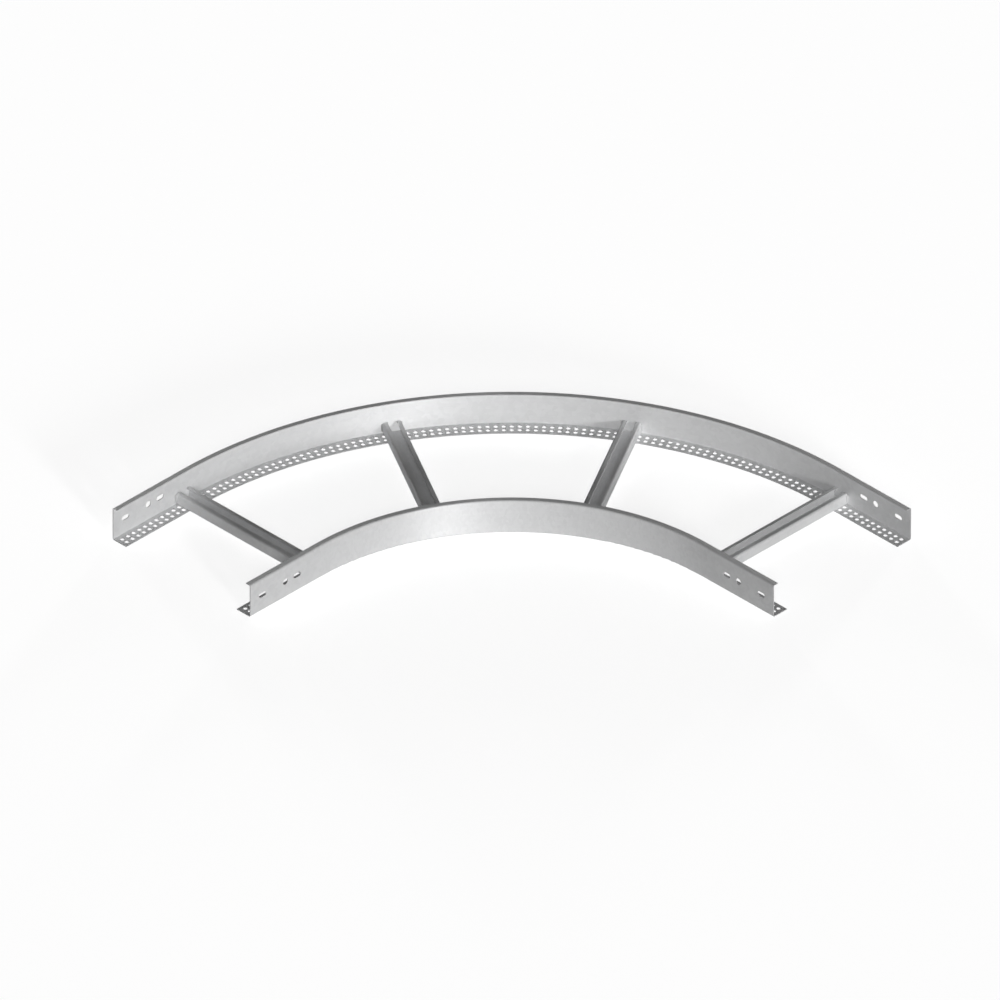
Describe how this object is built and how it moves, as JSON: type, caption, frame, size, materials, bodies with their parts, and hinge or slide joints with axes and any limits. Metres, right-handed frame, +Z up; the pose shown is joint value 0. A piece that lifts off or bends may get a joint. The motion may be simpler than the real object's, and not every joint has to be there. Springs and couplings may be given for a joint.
{
  "type": "cable ladder bend",
  "caption": "Flat quarter-turn cable ladder bend: two folded side rails with perforated bottom flanges, joined by slotted channel rungs, with bolt slots at every rail end.",
  "frame": {"origin": "on the floor plane, below the middle of the bounding box", "axes": "+Z up from the undersides of the bottom flanges; the first end faces -Y and the second end faces -X, with the turn's centre on the -X -Y side"},
  "size_m": [0.878, 0.878, 0.06],
  "materials": {
    "rail_steel": "galvanised sheet",
    "rung_steel": "galvanised sheet"
  },
  "bodies": {
    "root": {"outer_side_rail": "rail_steel", "inner_side_rail": "rail_steel", "rung_1": "rung_steel", "rung_2": "rung_steel", "rung_3": "rung_steel", "rung_4": "rung_steel"}
  },
  "joints": []
}
